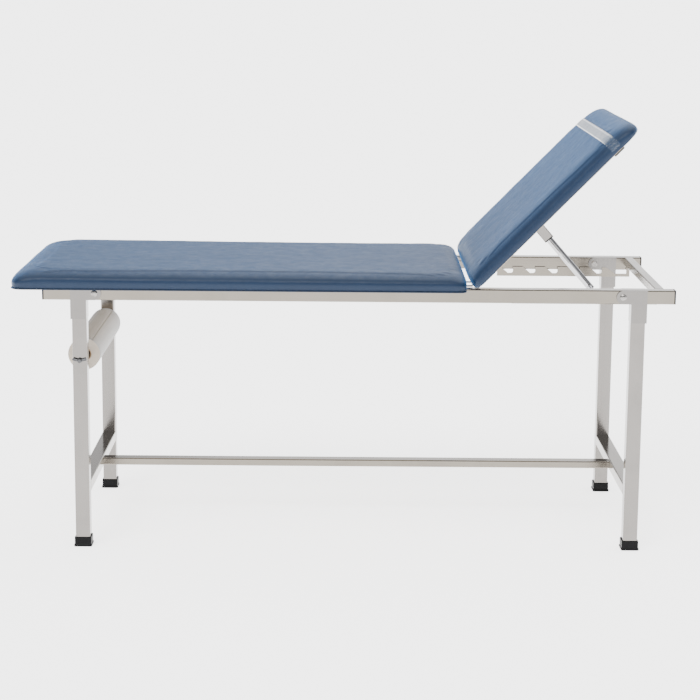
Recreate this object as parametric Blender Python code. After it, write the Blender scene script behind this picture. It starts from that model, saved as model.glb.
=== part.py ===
"""Two-section examination couch: a folding-leg steel frame, a fixed seat pad and a ratchet backrest.

Metres, +Z up, +X towards the head end, the near side at -Y. The origin is the middle of the footprint,
on the floor. Stations along the couch are measured from the foot end of the side rails and turned into
X by at_x().
"""
import math

import bmesh
import bpy
from mathutils import Matrix, Vector

GAP = 0.0003
BORE_GAP = 0.0001
ROUND = 24

# Side rails, square tube with a plastic plug in each end.
RAIL_LENGTH = 1.724
RAIL_SIZE = 0.038
RAIL_TOP = 0.7325
RAIL_BOTTOM = RAIL_TOP - RAIL_SIZE
RAIL_MID_Y = 0.3175
RAIL_INNER_Y = RAIL_MID_Y - RAIL_SIZE / 2
WALL = 0.0015
TUBE_RADIUS = 0.003
PLUG_FLANGE = 0.004
PLUG_DEPTH = 0.018

# Cross tubes between the rails, flush with their tops.
CROSS_TUBE = 0.025
CROSS_TUBE_STATIONS = {"foot": 0.040, "hinge": 1.115, "head": 1.685}

# Legs, their saddles on the rails and the parts between them.
LEG_SIZE = 0.040
LEG_STATIONS = {"foot": 0.100, "head": 1.6227}
SADDLE_PLATE = 0.003
SADDLE_DROP = 0.052
BOLT_OFFSET = 0.0425
BOLT_RADIUS = 0.005
BOLT_HEAD_RADIUS = 0.0095
NUT_THICKNESS = 0.0025
CROSS_BAR_HEIGHT = 0.030
CROSS_BAR_Z = 0.1637
STRETCHER_WIDTH = 0.038
STRETCHER_HEIGHT = 0.021
STRETCHER_BOLT_RADIUS = 0.004
CAP_HEIGHT = 0.027
CAP_FLOOR = 0.005
CAP_WALL = 0.003
CAP_FLARE = 0.004

# Paper roll and its holder between the foot-end legs.
ROLL_Z = 0.528
ROLL_RADIUS = 0.0455
ROLL_LENGTH = 0.500
CORE_RADIUS = 0.020
CORE_WALL = 0.002
HOLDER_RADIUS = 0.016
WING_BOLT_RADIUS = 0.004

# Pads: a plywood board let into the underside of an upholstered cushion.
PAD_HALF_WIDTH = 0.3657
SEAT_HEIGHT = 0.0375
BACK_HEIGHT = 0.0415
PAD_TOP_ROUND = 0.020
PAD_UNDER_ROUND = 0.004
PAD_CORNER = 0.055
BOARD_THICKNESS = 0.012
BOARD_INSET = 0.006
SEAT_UNDERSIDE = RAIL_TOP + GAP
SEAT_START = -0.083
SEAT_END = 1.151

# Backrest hinge line and the backrest's own measures, taken along the board from that line.
HINGE_STATION = 1.17665
HINGE_Z = 0.7483
HINGE_ABOVE_BOARD = 0.014
BACK_TILT = math.radians(45.6)
BACK_START = -0.0095
BACK_BOARD_START = 0.012
BACK_END = 0.5935
HINGE_Y = 0.235
HINGE_LENGTH = 0.090
KNUCKLE_RADIUS = 0.005
PIN_RADIUS = 0.0025
LEAF_THICKNESS = 0.002
LEAF_DEPTH = 0.025
LEAF_START = 0.022
KNUCKLE_ROOM = 0.0205

# Paper strap round the head end of the backrest.
STRAP_AT = 0.5235
STRAP_WIDTH = 0.030
STRAP_THICKNESS = 0.001

# Ratchet racks along the inner faces of the rails.
RACK_TOP = 0.7032
NOTCH_FLOOR = 0.684
RACK_START = 1.285
RACK_END = 1.687
RACK_THICKNESS = 0.003
RACK_STANDOFF = {"near": 0.048, "far": 0.0046}
RACK_BOTTOM = {"near": 0.680, "far": 0.6749}
RACK_TAB_BOTTOM = {"near": 0.690, "far": 0.6759}
NOTCH_PITCH = 0.0676
NOTCHES = 5
NOTCH_WIDTH = 0.0185
RAMP = 0.019
ROD_RADIUS = 0.006
PARK_START = 1.6430
PARK_END = 1.6770

# Strut: a square sleeve and a round tube, pinned under the backrest, with a rod across its foot.
ROD_STATION = 1.5295
ROD_Z = NOTCH_FLOOR + ROD_RADIUS + GAP
STRUT_SLOPE = math.radians(-48.75)
STRUT_LENGTH = 0.260
SLEEVE_SIZE = 0.029
SLEEVE_LENGTH = 0.0745
SLEEVE_PAST_PIN = 0.005
STRUT_TUBE_RADIUS = 0.010
STRUT_PIN_RADIUS = 0.004
BRACKET_PLATE = 0.003
BRACKET_HALF_LENGTH = 0.016
ROD_END_CLEARANCE = 0.0005

# The origin is midway between the foot end of the seat pad and the head end of the rails.
ORIGIN_STATION = (SEAT_START + RAIL_LENGTH) / 2

SIDES = {"near": -1, "far": 1}
ENDS = {"foot": 1, "head": -1}


def at_x(station):
    return station - ORIGIN_STATION


HINGE = Vector((at_x(HINGE_STATION), 0, HINGE_Z))
ROD = Vector((at_x(ROD_STATION), 0, ROD_Z))
STRUT_PIN = ROD - STRUT_LENGTH * Vector((math.cos(STRUT_SLOPE), 0, math.sin(STRUT_SLOPE)))

# Frames: the backrest's X runs along its board, and the strut's X runs from its pin to its rod.
BACK_FRAME = Matrix.Translation(HINGE) @ Matrix.Rotation(-BACK_TILT, 4, "Y")
STRUT_FRAME = Matrix.Translation(STRUT_PIN) @ Matrix.Rotation(-STRUT_SLOPE, 4, "Y")
PIN_IN_BACK = BACK_FRAME.inverted() @ STRUT_PIN


# ---------------------------------------------------------------- shapes

def circle(radius, sides=ROUND):
    return [
        (radius * math.cos(2 * math.pi * i / sides), radius * math.sin(2 * math.pi * i / sides))
        for i in range(sides)
    ]


def arc(centre, radius, start, end, steps):
    """Points of an arc, with its angles in degrees."""
    points = []
    for i in range(steps + 1):
        angle = math.radians(start + (end - start) * i / steps)
        points.append((centre[0] + radius * math.cos(angle), centre[1] + radius * math.sin(angle)))
    return points


def rounded_rectangle(width, height, radius=TUBE_RADIUS, steps=3):
    """A closed outline around (0, 0), counter-clockwise."""
    points = []
    for turn, (sx, sy) in enumerate(((1, 1), (-1, 1), (-1, -1), (1, -1))):
        centre = (sx * (width / 2 - radius), sy * (height / 2 - radius))
        points += arc(centre, radius, 90 * turn, 90 * turn + 90, steps)
    return points


def place(outline, axis, at, centre=(0, 0)):
    """Puts a flat outline at a distance along one axis; its two measures take the other two in order."""
    a0, b0 = centre
    if axis == "X":
        return [Vector((at, a0 + a, b0 + b)) for a, b in outline]
    if axis == "Y":
        return [Vector((a0 + a, at, b0 + b)) for a, b in outline]
    return [Vector((a0 + a, b0 + b, at)) for a, b in outline]


def loft(bm, loops, ring=False):
    """Joins loops of equal length in turn; a ring closes on itself, and anything else gets end caps."""
    rows = [[bm.verts.new(point) for point in loop] for loop in loops]
    pairs = list(zip(rows, rows[1:]))
    if ring:
        pairs.append((rows[-1], rows[0]))
    for low, high in pairs:
        for i in range(len(low)):
            j = (i + 1) % len(low)
            bm.faces.new((low[i], low[j], high[j], high[i]))
    if not ring:
        bm.faces.new(rows[0][::-1])
        bm.faces.new(rows[-1])


def prism(bm, outline, axis, start, end, centre=(0, 0)):
    loft(bm, [place(outline, axis, start, centre), place(outline, axis, end, centre)])


def tube(bm, outer, inner, axis, start, end, centre=(0, 0)):
    """An open-ended tube between two outlines that have the same number of points."""
    loops = [
        place(outer, axis, start, centre),
        place(outer, axis, end, centre),
        place(inner, axis, end, centre),
        place(inner, axis, start, centre),
    ]
    loft(bm, loops, ring=True)


def square_tube(bm, width, height, axis, start, end, centre):
    outer = rounded_rectangle(width, height)
    inner = rounded_rectangle(width - 2 * WALL, height - 2 * WALL, TUBE_RADIUS - WALL)
    tube(bm, outer, inner, axis, start, end, centre)


def cuboid(bm, low, high):
    outline = [(low[0], low[1]), (high[0], low[1]), (high[0], high[1]), (low[0], high[1])]
    prism(bm, outline, "Z", low[2], high[2])


def turned(bm, profile, axis, centre=(0, 0), sides=ROUND):
    """A solid of revolution along an axis, from (distance, radius) pairs."""
    loft(bm, [place(circle(radius, sides), axis, at, centre) for at, radius in profile])


# ---------------------------------------------------------------- objects

def make_material(name, colour, roughness, metallic=0.0):
    material = bpy.data.materials.new(name)
    material.use_nodes = True
    shader = material.node_tree.nodes["Principled BSDF"]
    shader.inputs["Base Color"].default_value = (*colour, 1.0)
    shader.inputs["Roughness"].default_value = roughness
    shader.inputs["Metallic"].default_value = metallic
    return material


def finish_mesh(name, bm):
    bmesh.ops.recalc_face_normals(bm, faces=bm.faces)
    mesh = bpy.data.meshes.new(name)
    bm.to_mesh(mesh)
    bm.free()
    mesh.shade_smooth()
    mesh.set_sharp_from_angle(angle=math.radians(35))
    return mesh


def add(name, bm, material, frame=None):
    """Makes the node's object. With a frame, its shape is drawn in that frame and its origin is there."""
    obj = bpy.data.objects.new(name, finish_mesh(name, bm))
    obj.data.materials.append(material)
    if frame is not None:
        obj.matrix_world = frame
    bpy.context.scene.collection.objects.link(obj)
    return obj


def combine(obj, bm, operation, frame=None):
    """Cuts, or joins on, the closed shapes in bm, which are drawn in the same frame as the object."""
    tool = bpy.data.objects.new(f"{obj.name}_{operation.lower()}", finish_mesh(obj.name, bm))
    if frame is not None:
        tool.matrix_world = frame
    tool.hide_render = True
    tool.display_type = "WIRE"
    bpy.context.scene.collection.objects.link(tool)
    modifier = obj.modifiers.new(operation.title(), "BOOLEAN")
    modifier.operation = operation
    modifier.object = tool


def cut(obj, bm, frame=None):
    combine(obj, bm, "DIFFERENCE", frame)


# ---------------------------------------------------------------- frame

def side_rails(steel):
    """The two long rails, each bored across for its leg bolts and closed by a plug at each end."""
    for side, sign in SIDES.items():
        bm = bmesh.new()
        start = at_x(PLUG_FLANGE + GAP)
        end = at_x(RAIL_LENGTH - PLUG_FLANGE - GAP)
        centre = (sign * RAIL_MID_Y, RAIL_TOP - RAIL_SIZE / 2)
        square_tube(bm, RAIL_SIZE, RAIL_SIZE, "X", start, end, centre)
        rail = add(f"side_rail_{side}", bm, steel)
        cut(rail, bolt_bores())


def bolt_station(end):
    return LEG_STATIONS[end] + ENDS[end] * BOLT_OFFSET


def bolt_bores():
    bm = bmesh.new()
    for end in ENDS:
        for sign in SIDES.values():
            middle = sign * RAIL_MID_Y
            centre = (at_x(bolt_station(end)), RAIL_TOP - RAIL_SIZE / 2)
            bore = circle(BOLT_RADIUS + GAP)
            prism(bm, bore, "Y", middle - RAIL_SIZE, middle + RAIL_SIZE, centre)
    return bm


def rail_end_plugs(plastic):
    """A plastic plug for each rail end: a flange that covers the tube's end, and a block inside it."""
    inside = RAIL_SIZE - 2 * WALL - 2 * GAP
    flange = rounded_rectangle(RAIL_SIZE, RAIL_SIZE)
    block = rounded_rectangle(inside, inside, TUBE_RADIUS - WALL)
    for side, sign in SIDES.items():
        centre = (sign * RAIL_MID_Y, RAIL_TOP - RAIL_SIZE / 2)
        for end, face in (("foot", 0.0), ("head", RAIL_LENGTH)):
            inward = ENDS[end]
            stations = (
                (face, flange), (face + inward * PLUG_FLANGE, flange),
                (face + inward * PLUG_FLANGE, block), (face + inward * PLUG_DEPTH, block),
            )
            bm = bmesh.new()
            loft(bm, [place(outline, "X", at_x(s), centre) for s, outline in stations])
            add(f"rail_plug_{end}_{side}", bm, plastic)


def cross_tubes(steel):
    for name, station in CROSS_TUBE_STATIONS.items():
        bm = bmesh.new()
        centre = (at_x(station), RAIL_TOP - CROSS_TUBE / 2)
        reach = RAIL_INNER_Y - GAP
        square_tube(bm, CROSS_TUBE, CROSS_TUBE, "Y", -reach, reach, centre)
        add(f"cross_tube_{name}", bm, steel)


def rack_outline(bottom):
    """The rack's side view: square teeth with a ramp on the foot side, and a long parking notch."""
    points = [(RACK_START, bottom), (RACK_END, bottom), (RACK_END, RACK_TOP)]
    points += [(PARK_END, RACK_TOP), (PARK_END, NOTCH_FLOOR)]
    points += [(PARK_START, NOTCH_FLOOR), (PARK_START - RAMP * 1.5, RACK_TOP)]
    depth = ROD_RADIUS + GAP
    last_wall = ROD_STATION + depth + NOTCH_PITCH
    for i in range(NOTCHES):
        wall = last_wall - i * NOTCH_PITCH
        points.append((wall, RACK_TOP))
        points += arc((wall - depth, NOTCH_FLOOR + depth), depth, 0, -90, 5)
        points.append((wall - NOTCH_WIDTH + 0.003, NOTCH_FLOOR))
        points.append((wall - NOTCH_WIDTH, NOTCH_FLOOR + 0.003))
        points.append((wall - NOTCH_WIDTH - RAMP, RACK_TOP))
    points.append((RACK_START, RACK_TOP))
    return [(at_x(station), z) for station, z in points]


def rack_inner_y(side):
    """How far the inner face of that side's rack plate is from the middle."""
    return RAIL_INNER_Y - RACK_STANDOFF[side] - RACK_THICKNESS


def racks(steel):
    """A toothed plate beside each rail, with an end tab folded outward to meet the rail at each end."""
    rail_face = RAIL_INNER_Y - GAP
    for side, sign in SIDES.items():
        plate_inner = rack_inner_y(side)
        plate_outer = plate_inner + RACK_THICKNESS
        bm = bmesh.new()
        prism(bm, rack_outline(RACK_BOTTOM[side]), "Y", sign * plate_inner, sign * plate_outer)
        rack = add(f"ratchet_rack_{side}", bm, steel)
        near, far = sorted((sign * (plate_inner + 0.001), sign * rail_face))
        for end, inward in ((RACK_START, 1), (RACK_END, -1)):
            tab = bmesh.new()
            low, high = sorted((at_x(end), at_x(end + inward * RACK_THICKNESS)))
            cuboid(tab, (low, near, RACK_TAB_BOTTOM[side]), (high, far, RACK_TOP - 0.001))
            combine(rack, tab, "UNION")


# ---------------------------------------------------------------- legs

def saddle_outline(end):
    """A cheek's side view: beside the leg's top and along the rail to a round end about the bolt."""
    outward = -ENDS[end]
    leg = LEG_STATIONS[end]
    outer = leg + outward * (LEG_SIZE / 2 + GAP + SADDLE_PLATE)
    inner = leg - outward * LEG_SIZE / 2
    bolt = (bolt_station(end), RAIL_TOP - RAIL_SIZE / 2)
    radius = RAIL_SIZE / 2 - 0.0005
    nose = arc(bolt, radius, -90, 90, 12)
    if outward > 0:
        nose = [(2 * bolt[0] - s, z) for s, z in nose]
    points = [(outer, RAIL_BOTTOM - SADDLE_DROP), (inner, RAIL_BOTTOM - SADDLE_DROP)]
    points += [(inner, nose[0][1])] + nose + [(outer, nose[-1][1])]
    return [(at_x(station), z) for station, z in points]


def leg_saddles(steel):
    """A folded plate over each leg's top: two cheeks along the rail and a web behind the leg."""
    room = LEG_SIZE / 2 + GAP
    for end in ENDS:
        outward = -ENDS[end]
        web = LEG_STATIONS[end] + outward * room
        for side, sign in SIDES.items():
            middle = sign * RAIL_MID_Y
            bm = bmesh.new()
            reach = room + SADDLE_PLATE
            prism(bm, saddle_outline(end), "Y", middle - reach, middle + reach)
            saddle = add(f"leg_saddle_{end}_{side}", bm, steel)
            channel = bmesh.new()
            stations = sorted((at_x(web), at_x(web - outward * 0.2)))
            cuboid(channel, (stations[0], middle - room, 0.5), (stations[1], middle + room, 0.8))
            cut(saddle, channel)
            rail_room = bmesh.new()
            low = RAIL_BOTTOM - GAP
            stations = sorted((at_x(web - outward * 0.1), at_x(web + outward * 0.1)))
            cuboid(rail_room, (stations[0], middle - room, low), (stations[1], middle + room, 0.8))
            cut(saddle, rail_room)
            cut(saddle, bolt_bores())


def leg_bolts(steel):
    """Domed bolts through saddle and rail, with a thin domed nut on the inner side of each."""
    reach = LEG_SIZE / 2 + GAP + SADDLE_PLATE + GAP
    height = RAIL_TOP - RAIL_SIZE / 2
    bore = circle(BOLT_RADIUS + BORE_GAP)
    for end in ENDS:
        centre = (at_x(bolt_station(end)), height)
        for side, sign in SIDES.items():
            outer = sign * (RAIL_MID_Y + reach)
            inner = sign * (RAIL_MID_Y - reach)
            nut_end = inner - sign * NUT_THICKNESS
            bolt = bmesh.new()
            dome = (
                (outer + sign * 0.0045, 0.0030), (outer + sign * 0.0036, 0.0065),
                (outer + sign * 0.0016, 0.0090), (outer, BOLT_HEAD_RADIUS),
                (outer, BOLT_RADIUS), (nut_end + sign * 0.0005, BOLT_RADIUS),
            )
            turned(bolt, dome, "Y", centre)
            add(f"leg_bolt_{end}_{side}", bolt, steel)
            nut = bmesh.new()
            rows = (
                (inner, bore), (inner, circle(BOLT_HEAD_RADIUS - 0.0005)),
                (inner - sign * 0.0012, circle(BOLT_HEAD_RADIUS - 0.0005)),
                (nut_end, circle(BOLT_HEAD_RADIUS - 0.0025)), (nut_end, bore),
            )
            loft(nut, [place(outline, "Y", at, centre) for at, outline in rows], ring=True)
            add(f"leg_nut_{end}_{side}", nut, steel)


def legs(steel):
    """Four square legs; the foot-end pair is bored for the roll holder's wing bolts."""
    for end, station in LEG_STATIONS.items():
        for side, sign in SIDES.items():
            bm = bmesh.new()
            centre = (at_x(station), sign * RAIL_MID_Y)
            bottom = CAP_FLOOR + GAP
            top = RAIL_BOTTOM - 0.001
            square_tube(bm, LEG_SIZE, LEG_SIZE, "Z", bottom, top, centre)
            leg = add(f"leg_{end}_{side}", bm, steel)
            if end == "foot":
                bores = bmesh.new()
                bore = circle(WING_BOLT_RADIUS + GAP)
                middle = sign * RAIL_MID_Y
                prism(bores, bore, "Y", middle - 0.03, middle + 0.03, (at_x(station), ROLL_Z))
                cut(leg, bores)


def foot_caps(rubber):
    """Black caps over the leg ends, a little wider at the floor."""
    pocket = LEG_SIZE + 2 * GAP
    sleeve = pocket + 2 * CAP_WALL
    for end, station in LEG_STATIONS.items():
        for side, sign in SIDES.items():
            bm = bmesh.new()
            centre = (at_x(station), sign * RAIL_MID_Y)
            steps = (
                (0, sleeve + CAP_FLARE - 0.002, 0.005), (0.002, sleeve + CAP_FLARE, 0.005),
                (0.0045, sleeve + CAP_FLARE, 0.005), (0.0070, sleeve, 0.004),
                (CAP_HEIGHT - 0.001, sleeve, 0.004), (CAP_HEIGHT, sleeve - 0.002, 0.004),
                (CAP_HEIGHT, pocket, TUBE_RADIUS), (CAP_FLOOR, pocket, TUBE_RADIUS),
            )
            loops = [place(rounded_rectangle(w, w, r), "Z", z, centre) for z, w, r in steps]
            loft(bm, loops)
            add(f"foot_cap_{end}_{side}", bm, rubber)


def cross_bars(steel):
    """The low bar between each pair of legs, bored for the stretcher's bolt."""
    reach = RAIL_MID_Y - LEG_SIZE / 2 - GAP
    for end, station in LEG_STATIONS.items():
        bm = bmesh.new()
        centre = (at_x(station), CROSS_BAR_Z)
        square_tube(bm, LEG_SIZE, CROSS_BAR_HEIGHT, "Y", -reach, reach, centre)
        bar = add(f"cross_bar_{end}", bm, steel)
        bores = bmesh.new()
        middle = at_x(station)
        prism(bores, circle(STRETCHER_BOLT_RADIUS + GAP), "X", middle - 0.03, middle + 0.03, (0, CROSS_BAR_Z))
        cut(bar, bores)


def stretcher_ends():
    return {end: LEG_STATIONS[end] + ENDS[end] * (LEG_SIZE / 2 + GAP) for end in ENDS}


def stretcher(steel):
    """The long bar between the two cross bars, with a threaded block welded into each end."""
    ends = stretcher_ends()
    bm = bmesh.new()
    start, end = at_x(ends["foot"]), at_x(ends["head"])
    square_tube(bm, STRETCHER_WIDTH, STRETCHER_HEIGHT, "X", start, end, (0, CROSS_BAR_Z))
    bar = add("stretcher", bm, steel)
    block = rounded_rectangle(STRETCHER_WIDTH - WALL, STRETCHER_HEIGHT - WALL, 0.0020)
    for name, face in ends.items():
        inward = ENDS[name]
        weld = bmesh.new()
        prism(weld, block, "X", at_x(face + inward * 0.0005), at_x(face + inward * 0.020), (0, CROSS_BAR_Z))
        combine(bar, weld, "UNION")
    bore = bmesh.new()
    reach = (ends["head"] - ends["foot"]) / 2 + 0.01
    middle = at_x((ends["head"] + ends["foot"]) / 2)
    prism(bore, circle(STRETCHER_BOLT_RADIUS + GAP), "X", middle - reach, middle + reach, (0, CROSS_BAR_Z))
    cut(bar, bore)


def stretcher_bolts(steel):
    for end, face in stretcher_ends().items():
        inward = ENDS[end]
        outer = LEG_STATIONS[end] - inward * (LEG_SIZE / 2 + GAP)
        profile = (
            (outer - inward * 0.0050, 0.0065), (outer - inward * 0.0045, 0.0070),
            (outer, 0.0075), (outer, STRETCHER_BOLT_RADIUS),
            (face + inward * 0.018, STRETCHER_BOLT_RADIUS),
        )
        bm = bmesh.new()
        turned(bm, [(at_x(s), r) for s, r in profile], "X", (0, CROSS_BAR_Z))
        add(f"stretcher_bolt_{end}", bm, steel)


# ---------------------------------------------------------------- paper roll

def roll_centre():
    return (at_x(LEG_STATIONS["foot"]), ROLL_Z)


def roll_holder(steel):
    """A tube between the foot-end legs, with a threaded block welded into each end."""
    reach = RAIL_MID_Y - LEG_SIZE / 2 - GAP
    bm = bmesh.new()
    tube(bm, circle(HOLDER_RADIUS), circle(HOLDER_RADIUS - WALL), "Y", -reach, reach, roll_centre())
    holder = add("roll_holder_tube", bm, steel)
    for sign in SIDES.values():
        weld = bmesh.new()
        start, end = sign * (reach - 0.0005), sign * (reach - 0.020)
        prism(weld, circle(HOLDER_RADIUS - WALL / 2), "Y", start, end, roll_centre())
        combine(holder, weld, "UNION")
    bore = bmesh.new()
    prism(bore, circle(WING_BOLT_RADIUS + GAP), "Y", -RAIL_MID_Y, RAIL_MID_Y, roll_centre())
    cut(holder, bore)


def wing_outline(sign):
    """One wing of the nut, seen along the bolt: a rounded ear that leans up and out."""
    tip = (0.0165, 0.0035)
    return [(sign * x, z) for x, z in [(0.0, -0.003), *arc(tip, 0.0035, -80, 100, 6), (0.0, 0.003)]]


def wing_bolts(steel):
    """A threaded stud through each foot-end leg, with a two-eared nut on its outer end."""
    x, z = roll_centre()
    for side, sign in SIDES.items():
        face = sign * (RAIL_MID_Y + LEG_SIZE / 2 + GAP)
        inner = sign * (RAIL_MID_Y - LEG_SIZE / 2 - 0.016)
        bm = bmesh.new()
        profile = (
            (face + sign * 0.012, 0.0045), (face + sign * 0.010, 0.0062), (face, 0.0075),
            (face, WING_BOLT_RADIUS), (inner, WING_BOLT_RADIUS),
        )
        turned(bm, profile, "Y", (x, z))
        bolt = add(f"wing_bolt_{side}", bm, steel)
        for ear in (1, -1):
            wing = bmesh.new()
            start, end = face + sign * 0.005, face + sign * 0.0085
            prism(wing, wing_outline(ear), "Y", start, end, (x, z))
            combine(bolt, wing, "UNION")


def paper_roll(paper, card):
    bm = bmesh.new()
    half = ROLL_LENGTH / 2
    outer, inner = circle(ROLL_RADIUS, 48), circle(CORE_RADIUS + GAP, 48)
    tube(bm, outer, inner, "Y", -half, half, roll_centre())
    add("paper_roll", bm, paper)
    core = bmesh.new()
    outer, inner = circle(CORE_RADIUS, 32), circle(CORE_RADIUS - CORE_WALL, 32)
    tube(core, outer, inner, "Y", -half, half, roll_centre())
    add("roll_core", core, card)


# ---------------------------------------------------------------- pads

def pad_section(half, low, top):
    """A pad's cross-section: flat under, small round under-edges and large round top edges."""
    under = min(PAD_UNDER_ROUND, 0.3 * (top - low))
    over = min(PAD_TOP_ROUND, 0.7 * (top - low) - 0.0001)
    right = arc((half - under, low + under), under, -90, 0, 3)
    right += arc((half - over, top - over), over, 0, 90, 6)
    return right + [(-y, z) for y, z in reversed(right)]


def fallen(along, radius):
    """How far a rounded end edge has fallen away from the full depth, at a distance from the end."""
    missing = max(0.0, 1 - along / radius)
    return radius * (1 - math.sqrt(1 - missing**2))


def pad_body(start, end, height):
    """Lofts the cross-section along the pad, drawn in round its corners and end edges."""
    bm = bmesh.new()
    steps = 8
    turns = [math.radians(90) * i / steps for i in range(steps + 1)]
    corner = [(PAD_CORNER * (1 - math.cos(turn)), PAD_CORNER * (1 - math.sin(turn))) for turn in turns]
    stations = [(start + along, along, inset) for along, inset in corner]
    stations += [(end - along, along, inset) for along, inset in reversed(corner)]
    loops = []
    for x, along, inset in stations:
        low = fallen(along, PAD_UNDER_ROUND)
        top = height - fallen(along, PAD_TOP_ROUND)
        loops.append(place(pad_section(PAD_HALF_WIDTH - inset, low, top), "X", x))
    loft(bm, loops)
    return bm


def board_box(start, end, margin=0.0, below=0.0):
    bm = bmesh.new()
    half = PAD_HALF_WIDTH - BOARD_INSET + margin
    outline = rounded_rectangle(end - start + 2 * margin, 2 * half, PAD_CORNER, 5)
    prism(bm, outline, "Z", -below, BOARD_THICKNESS + margin, ((start + end) / 2, 0))
    return bm


def pad(name, body, board_ends, frame, materials):
    """A cushion and the board let into its underside. The frame's Z = 0 is the underside."""
    cushion = add(f"{name}_cushion", body, materials["vinyl"], frame)
    cut(cushion, board_box(*board_ends, GAP, 0.01), frame)
    add(f"{name}_board", board_box(*board_ends), materials["plywood"], frame)
    return cushion


def seat(materials):
    frame = Matrix.Translation((0, 0, SEAT_UNDERSIDE))
    start, end = at_x(SEAT_START), at_x(SEAT_END)
    body = pad_body(start, end, SEAT_HEIGHT)
    pad("seat", body, (start + BOARD_INSET, end - BOARD_INSET), frame, materials)


BOARD_FRAME = BACK_FRAME @ Matrix.Translation((0, 0, -HINGE_ABOVE_BOARD))


def backrest(materials):
    """The backrest pad; its lower end is notched from below round each hinge's knuckles."""
    board_ends = (BACK_BOARD_START, BACK_END - BOARD_INSET)
    body = pad_body(BACK_START, BACK_END, BACK_HEIGHT)
    cushion = pad("back", body, board_ends, BOARD_FRAME, materials)
    reach = HINGE_LENGTH / 2 + 0.004
    for sign in SIDES.values():
        notch = bmesh.new()
        middle = sign * HINGE_Y
        far_end = BACK_BOARD_START - GAP
        cuboid(notch, (-0.03, middle - reach, -0.01), (far_end, middle + reach, KNUCKLE_ROOM))
        cut(cushion, notch, BOARD_FRAME)


def strap_section(clear):
    """The strap's path round the pad's cross-section, at a distance outside it."""
    half, under, over = PAD_HALF_WIDTH, PAD_UNDER_ROUND, PAD_TOP_ROUND
    right = arc((half - under, under), under + clear, -90, 0, 3)
    right += arc((half - over, BACK_HEIGHT - over), over + clear, 0, 90, 6)
    return right + [(-y, z) for y, z in reversed(right)]


def strap(materials):
    bm = bmesh.new()
    start, end = STRAP_AT - STRAP_WIDTH / 2, STRAP_AT + STRAP_WIDTH / 2
    outer, inner = strap_section(GAP + STRAP_THICKNESS), strap_section(GAP)
    tube(bm, outer, inner, "X", start, end)
    add("paper_strap", bm, materials["clear_vinyl"], BOARD_FRAME)
    buckle = bmesh.new()
    top = -2 * GAP - STRAP_THICKNESS
    middle = -(PAD_HALF_WIDTH - 0.0145)
    outline = rounded_rectangle(STRAP_WIDTH + 0.004, 0.012, 0.002)
    prism(buckle, outline, "Z", top - 0.003, top, (STRAP_AT, middle))
    add("strap_buckle", buckle, materials["black_plastic"], BOARD_FRAME)


# ---------------------------------------------------------------- hinges

def knuckle_spans(leaf):
    """Lengths of pin that each leaf's knuckles hold, either side of the hinge's middle."""
    inner = HINGE_LENGTH / 2 - 0.020
    if leaf == "back":
        return [(-inner + GAP, inner - GAP)]
    return [(-HINGE_LENGTH / 2, -inner), (inner, HINGE_LENGTH / 2)]


def finger_outline(direction, under):
    """From the plate under a board up to the knuckle; direction is -1 for the seat's side."""
    low = under - GAP - LEAF_THICKNESS
    top = under - GAP
    inner, outer = 0.0025, 0.0025 + LEAF_THICKNESS
    points = [
        (LEAF_START + 0.004, low), (inner, low), (inner, 0.0), (outer, 0.0),
        (outer, top), (LEAF_START + 0.004, top),
    ]
    return [(direction * a, b) for a, b in points]


def hinge_leaf(name, leaf, frame, direction, under, middle, material):
    """One leaf, drawn from the pin's axis: a plate under its board, fingers and knuckles."""
    bm = bmesh.new()
    near, far = middle - HINGE_LENGTH / 2, middle + HINGE_LENGTH / 2
    top = under - GAP
    start, end = sorted((direction * LEAF_START, direction * (LEAF_START + LEAF_DEPTH)))
    cuboid(bm, (start, near, top - LEAF_THICKNESS), (end, far, top))
    obj = add(name, bm, material, frame)
    for low, high in knuckle_spans(leaf):
        finger = bmesh.new()
        outline = finger_outline(direction, under)
        prism(finger, outline, "Y", middle + low, middle + high)
        combine(obj, finger, "UNION", frame)
        knuckle = bmesh.new()
        prism(knuckle, circle(KNUCKLE_RADIUS), "Y", middle + low, middle + high)
        combine(obj, knuckle, "UNION", frame)
    bore = bmesh.new()
    prism(bore, circle(PIN_RADIUS + BORE_GAP), "Y", near - 0.01, far + 0.01)
    cut(obj, bore, frame)


def hinges(steel):
    seat_frame = Matrix.Translation(HINGE)
    under_seat = SEAT_UNDERSIDE - HINGE_Z
    for side, sign in SIDES.items():
        middle = sign * HINGE_Y
        hinge_leaf(f"hinge_seat_leaf_{side}", "seat", seat_frame, -1, under_seat, middle, steel)
        under_back = -HINGE_ABOVE_BOARD
        hinge_leaf(f"hinge_back_leaf_{side}", "back", BACK_FRAME, 1, under_back, middle, steel)
        bm = bmesh.new()
        near, far = middle - HINGE_LENGTH / 2, middle + HINGE_LENGTH / 2
        profile = (
            (near - 0.0018, 0.0030), (near - GAP, 0.0038), (near - GAP, PIN_RADIUS),
            (far + GAP, PIN_RADIUS), (far + GAP, 0.0038), (far + 0.0018, 0.0030),
        )
        turned(bm, profile, "Y")
        add(f"hinge_pin_{side}", bm, steel, seat_frame)


# ---------------------------------------------------------------- strut

def bracket_outline():
    """A channel's cross-section: a plate flat under the board and a cheek either side of the sleeve."""
    cheek = SLEEVE_SIZE / 2 + 0.0005
    outer = cheek + BRACKET_PLATE
    low = PIN_IN_BACK.z - 0.010
    top = -HINGE_ABOVE_BOARD - GAP
    inner_top = top - BRACKET_PLATE
    return [
        (-outer, low), (-cheek, low), (-cheek, inner_top), (cheek, inner_top),
        (cheek, low), (outer, low), (outer, top), (-outer, top),
    ]


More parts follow.
